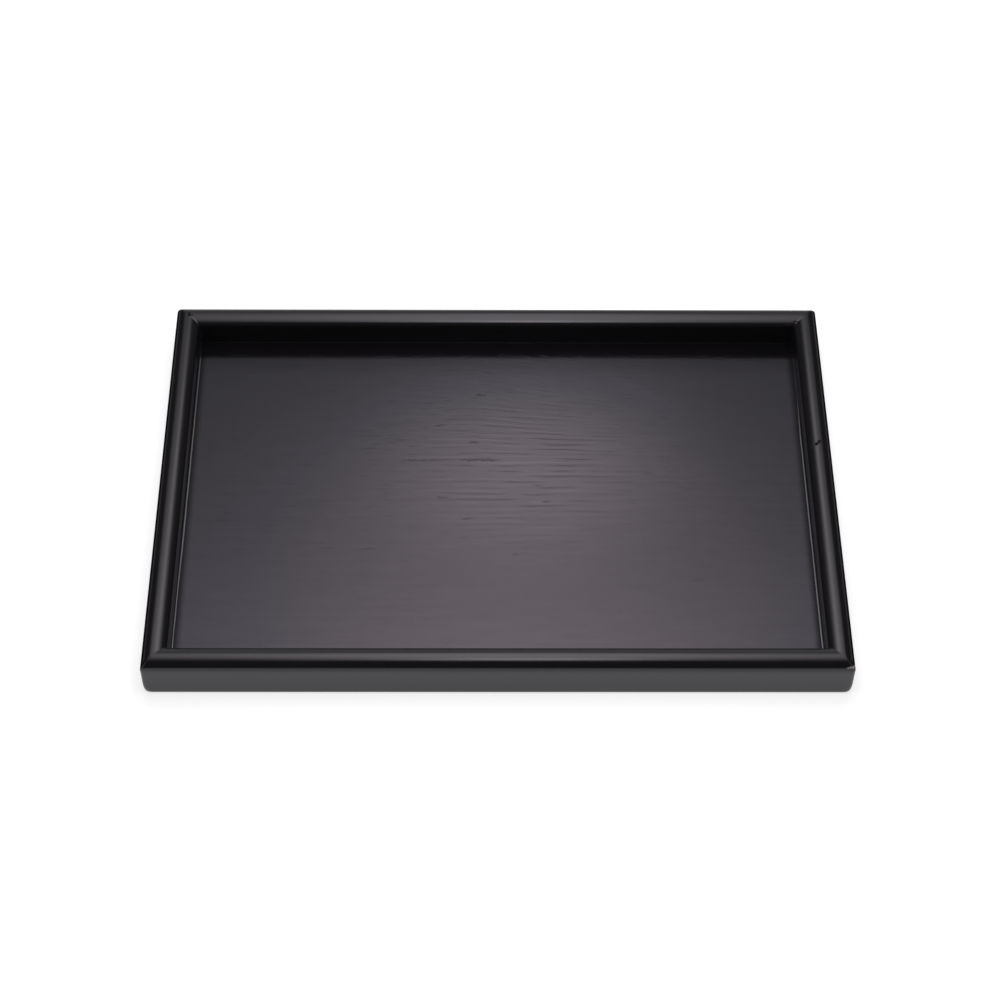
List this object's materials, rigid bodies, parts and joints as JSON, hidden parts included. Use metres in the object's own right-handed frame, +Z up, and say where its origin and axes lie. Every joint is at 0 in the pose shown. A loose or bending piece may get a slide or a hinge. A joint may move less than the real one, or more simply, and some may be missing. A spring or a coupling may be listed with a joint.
{
  "type": "wooden tea tray",
  "caption": "Shallow rectangular black wooden tea tray: mitred rails with a rounded top edge around a recessed wood-grain base, for carrying cups and a teapot.",
  "frame": {"origin": "middle of the tray's plan, on the surface it stands on", "axes": "+X along the long side to the right, +Y from the near long rail to the far one, +Z up"},
  "size_m": [0.3, 0.205, 0.021],
  "materials": {
    "lacquered_rail": "satin black lacquer over solid wood",
    "face_veneer": "black stained open-grain veneer under satin lacquer",
    "plywood_core": "raw plywood, hidden",
    "back_veneer": "black stained veneer under a thin matt coat",
    "spline_wood": "raw hardwood, hidden",
    "lacquer_filler": "glossy black filler and lacquer"
  },
  "bodies": {
    "root": {"front_rail": "lacquered_rail", "rear_rail": "lacquered_rail", "left_rail": "lacquered_rail", "right_rail": "lacquered_rail", "base_face_veneer": "face_veneer", "base_core": "plywood_core", "base_back_veneer": "back_veneer", "corner_spline_front_left": "spline_wood", "corner_spline_front_right": "spline_wood", "corner_spline_rear_left": "spline_wood", "corner_spline_rear_right": "spline_wood", "seam_bead": "lacquer_filler"}
  },
  "joints": []
}
